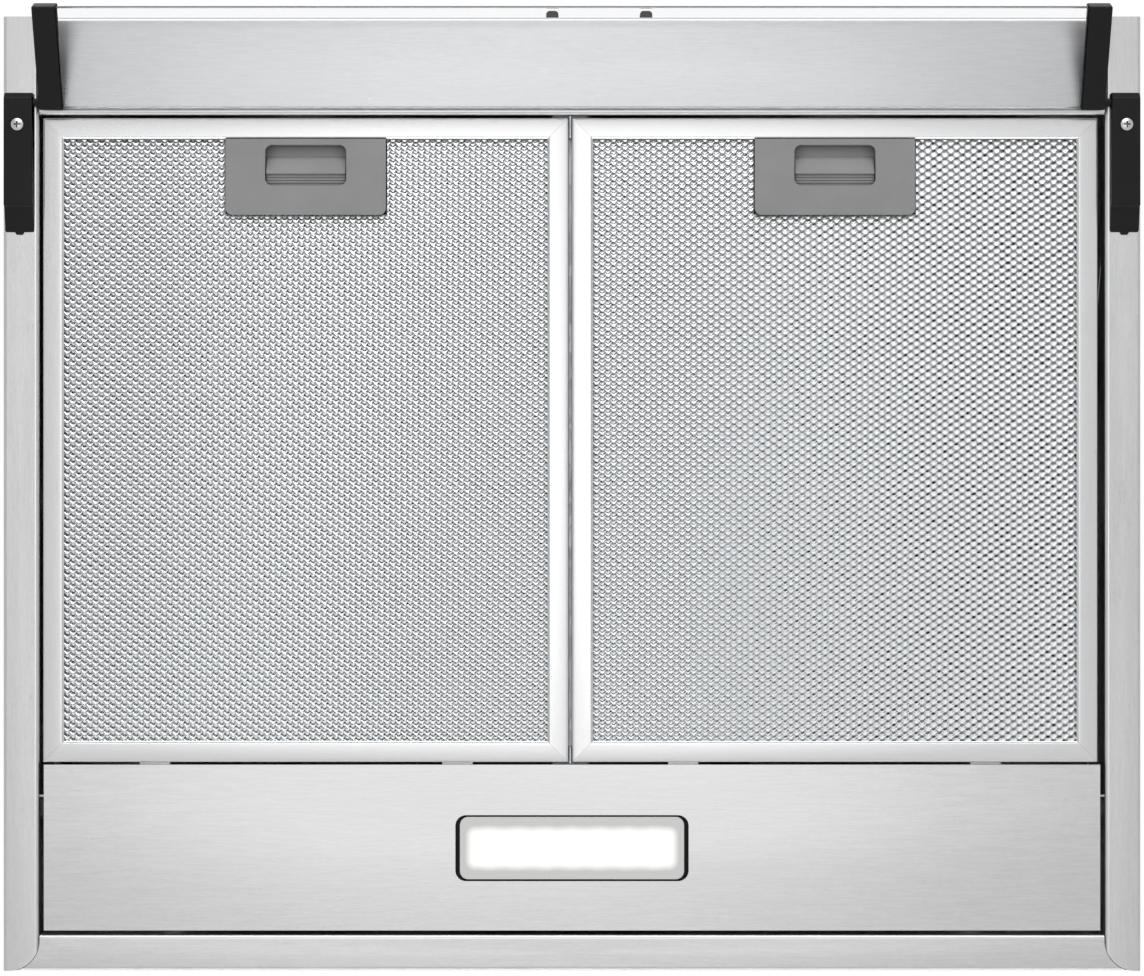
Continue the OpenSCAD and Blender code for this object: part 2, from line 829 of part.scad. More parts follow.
module slide_knob(x) {
    r = 2;
    translate([x, front_y, knob_z]) {
        along_z(-knob_h / 2, knob_h / 2) {
            translate([-knob_w / 2, -knob_out + r]) square([knob_w, knob_out - r - 0.3]);
            translate([-knob_w / 2 + r, -knob_out]) square([knob_w - 2 * r, knob_out - 0.3]);
            for (side = [-1, 1])
                translate([side * (knob_w / 2 - r), -knob_out + r]) circle(r);
        }
        block(-stem_w / 2, stem_w / 2, -0.6, sheet_t + 10, -1.6, 1.6);
    }
}

module fan_knob() {
    color([0.1, 0.1, 0.1]) slide_knob(fan_x);
}

module light_knob() {
    color([0.1, 0.1, 0.1]) slide_knob(light_x);
}

// ---- Blower ----

// Radius of the scroll at angle a, which runs from the cut-off to the outlet's rear wall.
function scroll_radius(a) = scroll_r0 + (scroll_r1 - scroll_r0) * (a - 80) / 280;

// Outline of the scroll and its outlet in Y and Z. grow thickens it outwards.
module scroll_shape(grow) {
    top = -sheet_t - 1.5;
    polygon(concat(
        [for (a = [80:5:360]) [wheel_y, wheel_z] + (scroll_radius(a) + grow) * [cos(a), sin(a)]],
        [[wheel_y + scroll_r1 + grow, top], [outlet_front - grow, top]]
    ));
}

module scroll_half(side) {
    outer = scroll_w / 2;
    mirror([side < 0 ? 1 : 0, 0, 0])
        union() {
            difference() {
                along_x(outer - scroll_t, outer) scroll_shape(scroll_t);
                rod_x(38, outer - scroll_t - 1, outer + 1, wheel_y, wheel_z);
            }
            difference() {
                rod_x(40, outer - scroll_t, outer + 2.5, wheel_y, wheel_z);
                rod_x(38, outer - scroll_t - 1, outer + 4, wheel_y, wheel_z);
            }
            difference() {
                along_x(0, outer - scroll_t) scroll_shape(scroll_t);
                along_x(-1, outer) scroll_shape(0);
                block(-1, outer + 1, outlet_front, wheel_y + scroll_r1, -10, 1);
            }
        }
}

module scroll_left() {
    color("lightslategrey") scroll_half(-1);
}

module scroll_right() {
    color("slategrey") scroll_half(1);
}

module impeller() {
    half = wheel_w / 2;
    color("steelblue")
        union() {
            difference() {
                union() {
                    rod_x(wheel_r, -1, 1, wheel_y, wheel_z);
                    rod_x(9, -12, 12, wheel_y, wheel_z);
                }
                rod_x(shaft_r, -13, 13, wheel_y, wheel_z);
            }
            for (x = [-half, half - 2])
                difference() {
                    rod_x(wheel_r, x, x + 2, wheel_y, wheel_z);
                    rod_x(wheel_r - 7, x - 1, x + 3, wheel_y, wheel_z);
                }
            for (k = [0:blade_count - 1])
                translate([0, wheel_y, wheel_z]) rotate([k * 360 / blade_count, 0, 0])
                    block(1 - half, half - 1, wheel_r - 6, wheel_r - 1, -0.5, 0.5);
        }
}

module motor_shaft() {
    color("silver") rod_x(shaft_r, -16, motor_x0 + motor_l + 6, wheel_y, wheel_z);
}

module motor() {
    x1 = motor_x0 + motor_l;
    color("darkslategrey")
        difference() {
            union() {
                rod_x(motor_r, motor_x0 + 3, x1 - 3, wheel_y, wheel_z);
                rod_x(12, motor_x0, x1, wheel_y, wheel_z);
            }
            rod_x(shaft_r + run_gap, motor_x0 - 1, x1 + 1, wheel_y, wheel_z);
        }
}

module motor_bracket() {
    x0 = scroll_w / 2;
    color("lightsteelblue")
        union() {
            difference() {
                rod_x(motor_r + 2, motor_x0 + 14, motor_x0 + 22, wheel_y, wheel_z);
                rod_x(motor_r, motor_x0 + 13, motor_x0 + 23, wheel_y, wheel_z);
            }
            for (a = [150, 210, 330])
                translate([0, wheel_y, wheel_z]) rotate([a, 0, 0]) {
                    block(motor_x0 + 14, motor_x0 + 22, motor_r + 1, 47, -4, 4);
                    block(x0, motor_x0 + 22, 44, 47, -4, 4);
                }
        }
}

module capacitor() {
    color("whitesmoke")
        union() {
            rod_x(14, 150, 200, -20, -sheet_t - 16);
            rod_x(5, 200, 206, -20, -sheet_t - 16);
            block(168, 182, -34, -6, -sheet_t - 4, -sheet_t);
        }
}

module outlet_seal() {
    edge = collar_r + 2;
    color("dimgrey")
        difference() {
            block(-edge, edge, duct_y - edge, duct_y + edge, -sheet_t - 1.5, -sheet_t);
            block(-outlet_x, outlet_x, outlet_front, wheel_y + scroll_r1, -sheet_t - 3, 0);
        }
}

// ---- Air outlet ----

module duct_collar() {
    inner = collar_r - collar_wall;
    color([0.12, 0.12, 0.12])
        difference() {
            union() {
                rod_z(collar_r, 0, collar_h, 0, duct_y);
                rod_z(collar_r + 15, 0, 2, 0, duct_y);
            }
            rod_z(inner, flap_z - 0.8, collar_h + 1, 0, duct_y);
            rod_z(inner - 1.8, -1, collar_h + 1, 0, duct_y);
            for (a = [45:90:315])
                rod_z(2.2, -1, 3, (collar_r + 9) * cos(a), duct_y + (collar_r + 9) * sin(a));
            for (side = [-1, 1])
                rod_y(flap_pin_r + 0.02, duct_y - collar_r + 0.3, duct_y + collar_r - 0.3,
                    side * flap_pin_x, flap_z);
        }
}

module damper_pins() {
    reach = collar_r - 0.4;
    color("silver")
        for (side = [-1, 1])
            rod_y(flap_pin_r, duct_y - reach, duct_y + reach, side * flap_pin_x, flap_z);
}

module damper(side) {
    flap_r = collar_r - collar_wall - 1;
    knuckle_r = 2;
    mirror([side < 0 ? 1 : 0, 0, 0])
        difference() {
            union() {
                intersection() {
                    rod_z(flap_r, flap_z - flap_t / 2, flap_z + flap_t / 2, 0, duct_y);
                    block(flap_pin_x, collar_r, duct_y - collar_r, duct_y + collar_r,
                        flap_z - 1, flap_z + 1);
                }
                rod_y(knuckle_r, duct_y - flap_r + 4, duct_y + flap_r - 4, flap_pin_x, flap_z);
            }
            rod_y(flap_pin_r + run_gap, duct_y - collar_r, duct_y + collar_r, flap_pin_x, flap_z);
        }
}

module damper_left() {
    color("grey") damper(-1);
}

module damper_right() {
    color("grey") damper(1);
}

// ---- Electrics ----

module terminal_box() {
    color("whitesmoke")
        difference() {
            block(-205, -115, 56, 124, -42, -sheet_t);
            block(-203, -117, 58, 122, -40, -sheet_t - 2);
            rod_z(8.2, -5, 5, gland_x, gland_y);
        }
}

module cable_gland() {
    color([0.1, 0.1, 0.1])
        difference() {
            union() {
                rod_z(8, -14, 6, gland_x, gland_y);
                rod_z(11, 0, 3, gland_x, gland_y);
                translate([gland_x, gland_y, 3]) cylinder(r = 10, h = 7, $fn = 6);
                rod_z(11, -8, -4, gland_x, gland_y);
            }
            rod_z(gland_bore, -15, 11, gland_x, gland_y);
        }
}

module loom_run(a, b) {
    d = b - a;
    translate(a)
        rotate([0, acos(d[2] / norm(d)), atan2(d[1], d[0])])
            cylinder(r = loom_r, h = norm(d));
}

module wire_loom() {
    color([0.15, 0.15, 0.15])
        union() {
            for (k = [0:len(loom_points) - 2]) loom_run(loom_points[k], loom_points[k + 1]);
            for (k = [1:len(loom_points) - 2]) translate(loom_points[k]) sphere(loom_r);
        }
}

side_panel_left();
side_panel_right();
top_panel();
slope_panel();
nose_panel();
rear_panel();
rear_duct_cover();
hanger_plates();
cross_rail();
centre_rail();
case_screws();
filter_frame_left();
filter_frame_right();
filter_mesh_left();
filter_mesh_right();
latch_plate_left();
latch_plate_right();
latch_slider_left();
latch_slider_right();
latch_spring_left();
latch_spring_right();
visor_glass();
visor_arm_left();
visor_arm_right();
visor_bracket_left();
visor_bracket_right();
bracket_screws();
light_panel();
lamp_bezel();
lamp_housing();
lamp_lens();
led_board();
led_driver();
switch_housing();
fan_knob();
light_knob();
scroll_left();
scroll_right();
impeller();
motor_shaft();
motor();
motor_bracket();
capacitor();
outlet_seal();
duct_collar();
damper_pins();
damper_left();
damper_right();
terminal_box();
cable_gland();
wire_loom();
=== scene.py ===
"""Looks of the under cabinet range hood: materials, rounded pieces, filter mesh, light and camera."""

import json
from math import cos, pi, radians, sin

import bmesh
import bpy
import numpy as np
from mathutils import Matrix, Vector


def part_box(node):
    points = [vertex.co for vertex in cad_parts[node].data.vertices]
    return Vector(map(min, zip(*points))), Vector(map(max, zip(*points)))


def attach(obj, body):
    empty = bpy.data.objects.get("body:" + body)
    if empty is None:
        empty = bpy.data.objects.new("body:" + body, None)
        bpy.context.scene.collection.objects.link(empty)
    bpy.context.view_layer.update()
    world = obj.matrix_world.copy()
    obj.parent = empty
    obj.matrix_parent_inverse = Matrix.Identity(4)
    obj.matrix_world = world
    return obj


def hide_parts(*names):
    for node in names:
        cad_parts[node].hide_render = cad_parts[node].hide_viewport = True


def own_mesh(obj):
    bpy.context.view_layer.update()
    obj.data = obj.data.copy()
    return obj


MM = 0.001

# Camera: square on to the underside, 1.5 m below the rim.
CAMERA_PLACE = Vector((0, -0.1045, -1.650))
FOCAL_LENGTH = 89.57
SENSOR_WIDTH = 36
VIEW_DEPTH = 150

# Floor and sky of the studio
FLOOR_Z = -1.75
FLOOR_HALF = 40
HORIZON_TONE = 0.5
OVERHEAD_TONE = 1.02

# Expanded aluminium: one cell is CELL_W along X and CELL_D along Y, in staggered rows.
CELL_W = 6.03 * MM
CELL_D = 4.07 * MM

# One strand of it: half widths in millimetres, angles in degrees. It is widest and flattest
# at its rear crests, which also hang lowest.
STRAND_HALF = 0.24
STRAND_WIDENS = 0.42
STRAND_TILT = 46
STRAND_FLATTENS = 32
STRAND_THICK = 0.16 * MM
STRAND_WAVE = 0.12 * MM

# The mesh pack: how far it tucks behind the rails, the hole for the catch, and where its
# inner layers lie. BACK_SETBACK is in millimetres.
MESH_TUCK = 1.2 * MM
HOLE_GAP = 0.2 * MM
HOLE_OVERLAP = 0.6 * MM
BACK_SETBACK = 0.8
DEEP_FRONT = 3.2 * MM
DEEP_BACK = 1.6 * MM

# Base colours of the two visible metals
STAINLESS = (0.66, 0.661, 0.664)
ALUMINIUM = (0.76, 0.76, 0.765)

# Filter rails
RAIL_SKIN = 0.8 * MM
RAIL_CROWN = 0.45 * MM
RAIL_EDGE_R = 1.3 * MM
RAIL_FLANGE = 2 * MM
RAIL_LIP_R = 0.7 * MM
RAIL_LIP_H = 0.9 * MM
RAIL_LIP_STEP = 0.1 * MM
MITRE_GAP = 0.12 * MM

# Hook tabs of a filter, which stand out behind its rear rail
HOOK_PLACES = (-80 * MM, 80 * MM)
HOOK_HALF_W = 8 * MM
HOOK_LENGTH = 9 * MM
HOOK_ROOM = 8 * MM
HOOK_SETBACK = 0.02 * MM
HOOK_SKIN = 1.2 * MM
HOOK_RISE = 3.7 * MM

# Springs of the catches
SPRING_R = 1.1 * MM
SPRING_WIRE_R = 0.3 * MM
SPRING_TURNS = 7
SPRING_STEPS = 20
SPRING_SIDES = 8

# Lit middle of the lamp lens
GLOW_HALF_W = 54.5 * MM
GLOW_HALF_D = 10.3 * MM
GLOW_CORNER = 4 * MM
GLOW_EDGE = 2 * MM
GLOW_SWELL = 0.2 * MM
GLOW_STRENGTH = 0.5
DIODE_PITCH = 14.4 * MM

# Surface texture shared by several finishes
NOISE_ROUGHNESS = 0.55
BRUSH_DEPTH = 0.000012

# Rounding and smoothing, with angles in degrees
WELD_DISTANCE = 0.002 * MM
FLAT_ANGLE = 0.4
BEVEL_ANGLE = 28
BEVEL_SEGMENTS = 2
BEVEL_SHARP_ANGLE = 38
SHARP_ANGLE = 40


# ---- Shader building ----


class Finish:
    """A Principled material and short calls that add nodes to it."""

    def __init__(self, name, color, roughness, metallic=0.0):
        self.material = bpy.data.materials.new(name)
        self.material.use_nodes = True
        self.tree = self.material.node_tree
        self.bsdf = self.tree.nodes["Principled BSDF"]
        self.set(self.bsdf, "Base Color", (*color, 1))
        self.set(self.bsdf, "Roughness", roughness)
        self.set(self.bsdf, "Metallic", metallic)
        self.place = None

    def set(self, node, socket, value):
        node.inputs[socket].default_value = value

    def add(self, kind, **settings):
        node = self.tree.nodes.new(kind)
        for key, value in settings.items():
            setattr(node, key, value)
        return node

    def link(self, source, target):
        self.tree.links.new(source, target)

    def object_place(self):
        if self.place is None:
            self.place = self.add("ShaderNodeTexCoord").outputs["Object"]
        return self.place

    def math(self, operation, *values):
        node = self.add("ShaderNodeMath", operation=operation)
        for socket, value in zip(node.inputs, values):
            if isinstance(value, (int, float)):
                socket.default_value = value
            else:
                self.link(value, socket)
        return node.outputs[0]

    def noise(self, scale, detail):
        """Noise whose scale is given per metre along each axis."""
        mapping = self.add("ShaderNodeMapping")
        mapping.inputs["Scale"].default_value = scale
        self.link(self.object_place(), mapping.inputs["Vector"])
        texture = self.add("ShaderNodeTexNoise")
        self.set(texture, "Scale", 1.0)
        self.set(texture, "Detail", detail)
        self.set(texture, "Roughness", NOISE_ROUGHNESS)
        self.link(mapping.outputs["Vector"], texture.inputs["Vector"])
        return texture.outputs["Fac"]

    def cells(self, scale, output="Distance"):
        texture = self.add("ShaderNodeTexVoronoi")
        self.set(texture, "Scale", scale)
        self.link(self.object_place(), texture.inputs["Vector"])
        return texture.outputs[output]

    def spread(self, factor, low, high, start=0.25, stop=0.75):
        """A number that runs from low to high as factor runs from start to stop."""
        node = self.add("ShaderNodeMapRange")
        self.set(node, "From Min", start)
        self.set(node, "From Max", stop)
        self.set(node, "To Min", low)
        self.set(node, "To Max", high)
        self.link(factor, node.inputs["Value"])
        return node.outputs["Result"]

    def tint(self, factor, dark, light):
        node = self.add("ShaderNodeMix", data_type="RGBA")
        mixed = [socket for socket in node.inputs if socket.type == "RGBA"]
        mixed[0].default_value = (*dark, 1)
        mixed[1].default_value = (*light, 1)
        self.link(factor, node.inputs["Factor"])
        color = [socket for socket in node.outputs if socket.type == "RGBA"][0]
        self.link(color, self.bsdf.inputs["Base Color"])
        return color

    def shelter(self, distance):
        """1 in the open, falling towards 0 where the surface is boxed in within the distance."""
        node = self.add("ShaderNodeAmbientOcclusion", samples=6)
        self.set(node, "Distance", distance)
        return node.outputs["AO"]

    def darken(self, color, share):
        """Base colour times a number."""
        node = self.add("ShaderNodeVectorMath", operation="SCALE")
        self.link(color, node.inputs[0])
        self.link(share, node.inputs["Scale"])
        self.link(node.outputs[0], self.bsdf.inputs["Base Color"])

    def bump(self, height, distance, strength):
        node = self.add("ShaderNodeBump")
        self.set(node, "Distance", distance)
        self.set(node, "Strength", strength)
        self.link(height, node.inputs["Height"])
        self.link(node.outputs["Normal"], self.bsdf.inputs["Normal"])


def shade(color, factor):
    return tuple(min(1.0, channel * factor) for channel in color)


def stretched(along, length, across):
    """Noise scale for streaks that run along axis number along."""
    return tuple(length if axis == along else across for axis in range(3))


def brushed_metal(name, color, roughness, along, contrast):
    """Metal brushed along one axis: fine and coarse streaks in tone, gloss and height."""
    finish = Finish(name, color, roughness, metallic=1.0)
    fine = finish.noise(stretched(along, 240, 2300), detail=2)
    coarse = finish.noise(stretched(along, 55, 800), detail=3)
    broad = finish.noise((6, 6, 6), detail=1)
    streaks = finish.math("ADD", finish.math("MULTIPLY", fine, 0.5), finish.math("MULTIPLY", coarse, 0.5))
    tone = finish.spread(streaks, 0, 1, 0.36, 0.64)
    finish.tint(tone, shade(color, 1 - contrast), shade(color, 1 + contrast))
    worn = finish.math("ADD", finish.math("MULTIPLY", streaks, 0.7), finish.math("MULTIPLY", broad, 0.3))
    finish.link(finish.spread(worn, roughness - 0.06, roughness + 0.08), finish.bsdf.inputs["Roughness"])
    finish.bump(fine, BRUSH_DEPTH, 0.6)
    finish.set(finish.bsdf, "Anisotropic", 0.35)
    return finish.material


def plain_metal(name, color, roughness, spots=400, contrast=0.05):
    finish = Finish(name, color, roughness, metallic=1.0)
    grain = finish.noise((spots, spots, spots), detail=3)
    finish.tint(finish.spread(grain, 0, 1), shade(color, 1 - contrast), shade(color, 1 + contrast))
    finish.link(finish.spread(grain, roughness - 0.05, roughness + 0.07), finish.bsdf.inputs["Roughness"])
    return finish.material


def painted_recess_shade_metal(name, color, roughness):
    """Plated screw steel, with painted shade that darkens the hollow of the head."""
    finish = Finish(name, color, roughness, metallic=1.0)
    # Painted shade: the colour darkens where the ambient occlusion node finds the surface boxed in.
    finish.tint(finish.spread(finish.shelter(1.6 * MM), 0, 1, 0.45, 0.9), (0.03, 0.03, 0.03), color)
    return finish.material


def galvanised(name):
    """Zinc coated steel with its patches of crystal."""
    finish = Finish(name, (0.55, 0.57, 0.6), 0.42, metallic=0.9)
    crystals = finish.cells(190, "Color")
    tone = finish.add("ShaderNodeSeparateColor")
    finish.link(crystals, tone.inputs[0])
    finish.tint(finish.spread(tone.outputs[0], 0, 1, 0, 1), (0.5, 0.515, 0.54), (0.6, 0.615, 0.64))
    finish.link(finish.spread(tone.outputs[1], 0.36, 0.5, 0, 1), finish.bsdf.inputs["Roughness"])
    return finish.material


def moulded(name, color, roughness, grain=2600, depth=0.00002, specular=0.5, painted_shade_depth=None):
    """Moulded plastic: a fine spark-eroded grain over faint cloudiness.
    The last argument is the depth of pockets whose colour is darkened as painted shade, if there are any."""
    finish = Finish(name, color, roughness)
    pits = finish.noise((grain, grain, grain), detail=2)
    cloud = finish.noise((45, 45, 45), detail=2)
    tone = finish.tint(finish.spread(cloud, 0, 1), shade(color, 0.93), shade(color, 1.07))
    # Painted shade: darker colour in pockets, found by the ambient occlusion node.
    if painted_shade_depth:
        finish.darken(tone, finish.spread(finish.shelter(painted_shade_depth), 0.35, 1, 0.3, 0.9))
    finish.link(finish.spread(pits, roughness - 0.05, roughness + 0.07), finish.bsdf.inputs["Roughness"])
    finish.bump(pits, depth, 0.7)
    finish.set(finish.bsdf, "Specular IOR Level", specular)
    return finish.material


def clear_glass(name):
    finish = Finish(name, (0.945, 0.95, 0.96), 0.0)
    finish.set(finish.bsdf, "Transmission Weight", 1.0)
    finish.set(finish.bsdf, "IOR", 1.5)
    wipe = finish.noise((14, 3, 14), detail=2)
    finish.link(finish.spread(wipe, 0.0, 0.035, 0.45, 0.8), finish.bsdf.inputs["Roughness"])
    return finish.material


def packed_mesh(name):
    """Many layers of mesh deep in the filter: mostly painted shade, with painted glints of strand."""
    finish = Finish(name, (0.3, 0.3, 0.305), 0.6)
    glints = finish.cells(420)
    # Painted shade between the layers, with painted glints in Voronoi spots.
    finish.tint(finish.spread(glints, 0, 1, 0.2, 0.6), (0.03, 0.031, 0.032), (0.55, 0.555, 0.57))
    finish.bump(glints, 0.0006, 0.8)
    return finish.material


def foam(name):
    finish = Finish(name, (0.05, 0.05, 0.05), 0.9)
    pores = finish.cells(1200)
    finish.tint(finish.spread(pores, 0, 1, 0, 0.6), (0.02, 0.02, 0.02), (0.08, 0.08, 0.08))
    finish.bump(pores, 0.0003, 0.8)
    return finish.material


def woven_sleeve(name):
    finish = Finish(name, (0.03, 0.03, 0.03), 0.6)
    weave = finish.cells(700)
    finish.tint(finish.spread(weave, 0, 1, 0, 0.6), (0.015, 0.015, 0.015), (0.06, 0.06, 0.06))
    finish.bump(weave, 0.0002, 0.6)
    return finish.material


def frosted_lamp(name, centre):
    """Frosted lens with a lit middle whose long edges swell beside each diode."""
    finish = Finish(name, (0.6, 0.6, 0.595), 0.42)
    split = finish.add("ShaderNodeSeparateXYZ")
    finish.link(finish.object_place(), split.inputs[0])
    x = finish.math("SUBTRACT", split.outputs[0], centre[0])
    y = finish.math("ABSOLUTE", finish.math("SUBTRACT", split.outputs[1], centre[1]))
    wave = finish.math("COSINE", finish.math("MULTIPLY", x, 2 * pi / DIODE_PITCH))
    swell = finish.math("MULTIPLY", wave, GLOW_SWELL)
    beyond_y = finish.math("SUBTRACT", finish.math("SUBTRACT", y, GLOW_HALF_D), swell)
    beyond_x = finish.math("SUBTRACT", finish.math("ABSOLUTE", x), GLOW_HALF_W)
    over_x = finish.math("MAXIMUM", finish.math("ADD", beyond_x, GLOW_CORNER), 0)
    over_y = finish.math("MAXIMUM", finish.math("ADD", beyond_y, GLOW_CORNER), 0)
    squares = finish.math("ADD", finish.math("POWER", over_x, 2), finish.math("POWER", over_y, 2))
    beyond = finish.math("SUBTRACT", finish.math("SQRT", squares), GLOW_CORNER)
    glow = finish.spread(beyond, 1.0, 0.0, -GLOW_EDGE, GLOW_EDGE)
    finish.set(finish.bsdf, "Emission Color", (1, 1, 0.985, 1))
    emission = finish.math("MULTIPLY", glow, GLOW_STRENGTH)
    finish.link(emission, finish.bsdf.inputs["Emission Strength"])
    return finish.material


def make_finishes():
    """One material for each slot of the record, and one for the inside of the mesh, painted dark as shade."""
    lamp_low, lamp_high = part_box("lamp_lens")
    lamp_centre = (lamp_low + lamp_high) / 2
    return {
        "brushed_stainless": brushed_metal("brushed_stainless", STAINLESS, 0.3, along=0, contrast=0.06),
        "galvanised_steel": galvanised("galvanised_steel"),
        # Painted shade in the hollow of each screw head.
        "screw_steel": painted_recess_shade_metal("screw_steel", (0.62, 0.62, 0.63), 0.3),
        "spring_steel": plain_metal("spring_steel", (0.6, 0.6, 0.62), 0.25),
        "filter_aluminium": brushed_metal("filter_aluminium", ALUMINIUM, 0.3, along=0, contrast=0.02),
        "mesh_aluminium": plain_metal("mesh_aluminium", (0.83, 0.85, 0.865), 0.4, spots=900, contrast=0.02),
        "mesh_deep": packed_mesh("mesh_deep"),
        # Its pockets get painted shade in their colour.
        "grey_plastic": moulded("grey_plastic", (0.235, 0.235, 0.235), 0.42, painted_shade_depth=7 * MM),
        "clear_glass": clear_glass("clear_glass"),
        "black_plastic": moulded("black_plastic", (0.009, 0.009, 0.0095), 0.38, specular=0.16),
        "knob_plastic": moulded("knob_plastic", (0.009, 0.009, 0.009), 0.3, depth=0.000008, specular=0.25),
        "lamp_black": moulded("lamp_black", (0.005, 0.005, 0.005), 0.4, specular=0.12),
        "lamp_satin": moulded("lamp_satin", (0.7, 0.7, 0.69), 0.4),
        "lamp_light": frosted_lamp("lamp_light", lamp_centre),
        "circuit_board": moulded("circuit_board", (0.75, 0.78, 0.74), 0.35, grain=900),
        "white_plastic": moulded("white_plastic", (0.8, 0.8, 0.78), 0.42),
        "switch_plastic": moulded("switch_plastic", (0.05, 0.05, 0.05), 0.45),
        "blower_plastic": moulded("blower_plastic", (0.12, 0.12, 0.13), 0.5),
        "wheel_plastic": moulded("wheel_plastic", (0.06, 0.06, 0.07), 0.5),
        "motor_paint": moulded("motor_paint", (0.2, 0.21, 0.22), 0.4, grain=500, depth=0.00005),
        "gasket_foam": foam("gasket_foam"),
        "damper_plastic": moulded("damper_plastic", (0.3, 0.3, 0.3), 0.45),
        "loom_sleeve": woven_sleeve("loom_sleeve"),
    }


def dress_nodes(finishes):
    """Gives every CAD node the material of its slot. The side panels are brushed along Y."""
    crosswise = brushed_metal("brushed_stainless_sides", STAINLESS, 0.3, along=1, contrast=0.05)
    for part in frame["record"]["subparts"]:
        node = part["node"]
        material = finishes[part["material_slot"]]
        if node.startswith("side_panel"):
            material = crosswise
        for place in frame["nodes"][node].material_slots:
            place.material = material


# ---- Pieces ----


def body_of(node):
    bodies = frame["record"]["behaviour"]["bodies"]
    return next(name for name, members in bodies.items() if node in members)


def slot_of(node):
    parts = frame["record"]["subparts"]
    return next(part["material_slot"] for part in parts if part["node"] == node)


def new_piece(name, mesh, body, material, replaced=()):
    piece = bpy.data.objects.new(name, mesh)
    bpy.context.scene.collection.objects.link(piece)
    mesh.materials.clear()
    mesh.materials.append(material)
    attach(piece, body)
    if replaced:
        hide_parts(*replaced)
    return piece


def mesh_from(name, points, faces, smooth=False):
    mesh = bpy.data.meshes.new(name)
    mesh.from_pydata(points, [], faces)
    mesh.update()
    if smooth:
        mesh.shade_smooth()
        mesh.set_sharp_from_angle(angle=radians(SHARP_ANGLE))
    return mesh


def softened(node, width, finishes, rise=None):
    """The CAD node with its sharp edges rounded to a small radius, as a piece of its own.
    rise limits the rounding to edges that lie within that height of its underside."""
    shape = bmesh.new()
    shape.from_mesh(frame["nodes"][node].data)
    bmesh.ops.remove_doubles(shape, verts=shape.verts, dist=WELD_DISTANCE)
    bmesh.ops.dissolve_limit(shape, angle_limit=radians(FLAT_ANGLE), verts=shape.verts, edges=shape.edges)
    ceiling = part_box(node)[0].z + (rise or 1)
    sharp = [
        edge
        for edge in shape.edges
        if len(edge.link_faces) == 2
        and edge.calc_face_angle() > radians(BEVEL_ANGLE)
        and max(corner.co.z for corner in edge.verts) < ceiling
    ]
    bmesh.ops.bevel(
        shape,
        geom=sharp,
        offset=width,
        segments=BEVEL_SEGMENTS,
        profile=0.5,
        affect="EDGES",
        clamp_overlap=False,
    )
    mesh = bpy.data.meshes.new(node + "_rounded")
    shape.to_mesh(mesh)
    shape.free()
    mesh.shade_smooth()
    mesh.set_sharp_from_angle(angle=radians(BEVEL_SHARP_ANGLE))
    slot = slot_of(node)
    piece = new_piece(node + "_rounded", mesh, body_of(node), finishes[slot], [node])
    weighted = piece.modifiers.new("flat_faces", "WEIGHTED_NORMAL")
    weighted.keep_sharp = True
    return piece


# ---- Filters ----


def rail_section(width, low, top):
    """Closed outline of a rail in (distance from the outer edge, height): a channel with a crowned face."""
    flange = width - RAIL_FLANGE
    corner = RAIL_EDGE_R
    outer = [(flange, top), (corner, top)]
    outer += [(corner - corner * sin(a), top - corner + corner * cos(a)) for a in np.linspace(0.3, pi / 2, 4)]
    face_low = low + RAIL_CROWN
    for a in np.linspace(0, pi / 2, 6):
        outer.append((corner - corner * cos(a), face_low + corner - corner * sin(a)))
    for share in np.linspace(0.15, 1, 7):
        across = corner + share * (width - 2 * RAIL_LIP_R - corner)
        outer.append((across, low + RAIL_CROWN * (1 - share) ** 2))
    for a in np.linspace(0.4, pi / 2, 4):
        outer.append((width - RAIL_LIP_R * (2 - sin(a)), low + RAIL_LIP_R * (1 - cos(a))))
    outer[-1] = (width, low + RAIL_LIP_H)
    path = np.array(outer)
    ahead = np.gradient(path, axis=0)
    ahead /= np.linalg.norm(ahead, axis=1)[:, None]
    inward = np.stack([-ahead[:, 1], ahead[:, 0]], axis=1)
    inner = path + inward * RAIL_SKIN
    inner[0] = (flange, top - RAIL_SKIN)
    inner[-1] = (width - RAIL_SKIN * 0.5, low + RAIL_LIP_H + RAIL_LIP_STEP)
    return np.concatenate([path, inner[::-1]])


def rail_mesh(name, low_corner, high_corner, width, low, top, along):
    """The two rails of a frame that run along X (along 0) or along Y (along 1), cut to a mitre."""
    section = rail_section(width, low, top)
    centre = [(low_corner[i] + high_corner[i]) / 2 for i in range(2)]
    half = [(high_corner[i] - low_corner[i]) / 2 for i in range(2)]
    across = 1 - along
    points, faces = [], []
    count = len(section)
    for side in (-1, 1):
        first = len(points)
        for end in (-1, 1):
            for inset, height in section:
                point = [0.0, 0.0, height]
                point[along] = centre[along] + end * (half[along] - inset - MITRE_GAP / 2)
                point[across] = centre[across] + side * (half[across] - inset)
                points.append(point)
        ring = list(range(count))
        for i in ring:
            j = (i + 1) % count
            faces.append((first + i, first + j, first + count + j, first + count + i))
        faces.append([first + i for i in reversed(ring)])
        faces.append([first + count + i for i in ring])
    mesh = mesh_from(name, points, faces)
    shape = bmesh.new()
    shape.from_mesh(mesh)
    bmesh.ops.recalc_face_normals(shape, faces=shape.faces)
    shape.to_mesh(mesh)
    shape.free()
    mesh.shade_smooth()
    mesh.set_sharp_from_angle(angle=radians(SHARP_ANGLE))
    return mesh


def hook_tabs(name, low_corner, high_corner, centre_x):
    """Bent tabs on the rear rail that hook over the cross rail."""
    points, faces = [], []
    box = [(0, 1, 3, 2), (4, 6, 7, 5), (0, 4, 5, 1), (2, 3, 7, 6), (0, 2, 6, 4), (1, 5, 7, 3)]
    for x in HOOK_PLACES:
        first = len(points)
        for dz in (HOOK_RISE, HOOK_RISE + HOOK_SKIN):
            for y in (high_corner[1] - HOOK_LENGTH, high_corner[1] - HOOK_SETBACK):
                for dx in (-HOOK_HALF_W, HOOK_HALF_W):
                    points.append((centre_x + x + dx, y, low_corner[2] + dz))
        faces += [[first + i for i in face] for face in box]
    return mesh_from(name, points, faces)


